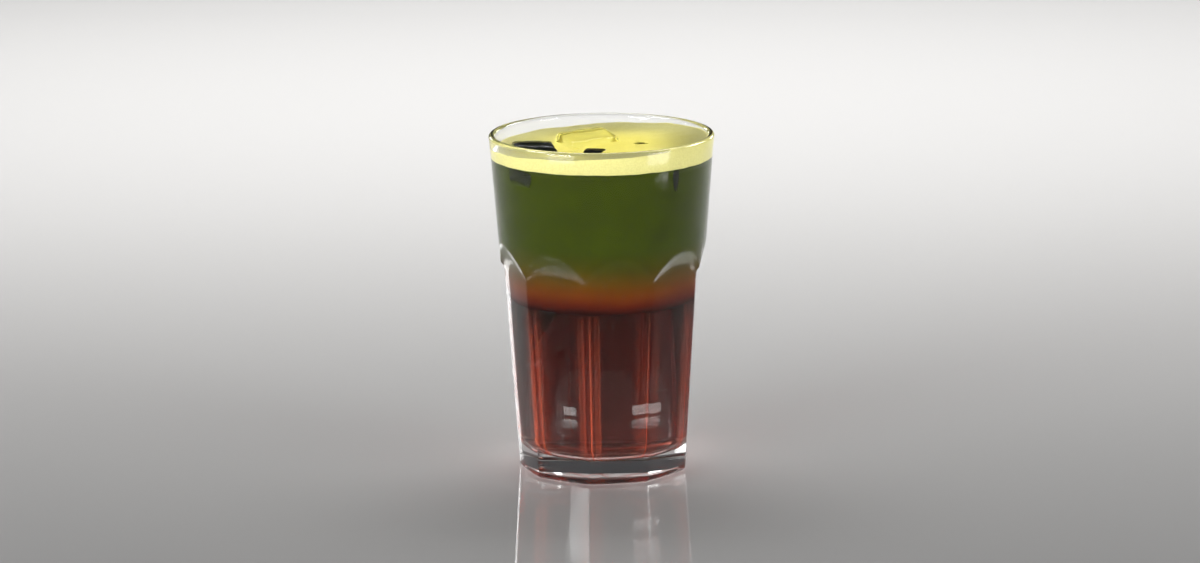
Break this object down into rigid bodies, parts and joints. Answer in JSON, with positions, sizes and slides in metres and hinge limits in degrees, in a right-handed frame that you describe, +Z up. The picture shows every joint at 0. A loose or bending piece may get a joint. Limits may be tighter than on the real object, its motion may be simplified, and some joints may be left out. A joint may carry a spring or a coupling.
{
  "type": "matcha tonic in a glass",
  "caption": "Layered cold drink in a tall panelled tumbler: clear red tonic below, green matcha above, pale foam and ice cubes on top.",
  "frame": {"origin": "centre of the underside of the glass, on the surface it stands on", "axes": "+Z up along the axis of the glass, +X towards the middle of a panel, the front faces -Y"},
  "size_m": [0.0846, 0.0846, 0.1285],
  "materials": {
    "clear_glass": "clear pressed glass, fire polished",
    "red_tonic": "clear deep red liquid",
    "green_matcha": "cloudy dark green liquid",
    "pale_foam": "fine pale yellow-green foam",
    "clear_ice": "clear wet ice"
  },
  "bodies": {
    "root": {"glass": "clear_glass", "tonic": "red_tonic", "matcha": "green_matcha", "foam": "pale_foam", "ice_back": "clear_ice", "ice_left": "clear_ice", "ice_front": "clear_ice"}
  },
  "joints": []
}
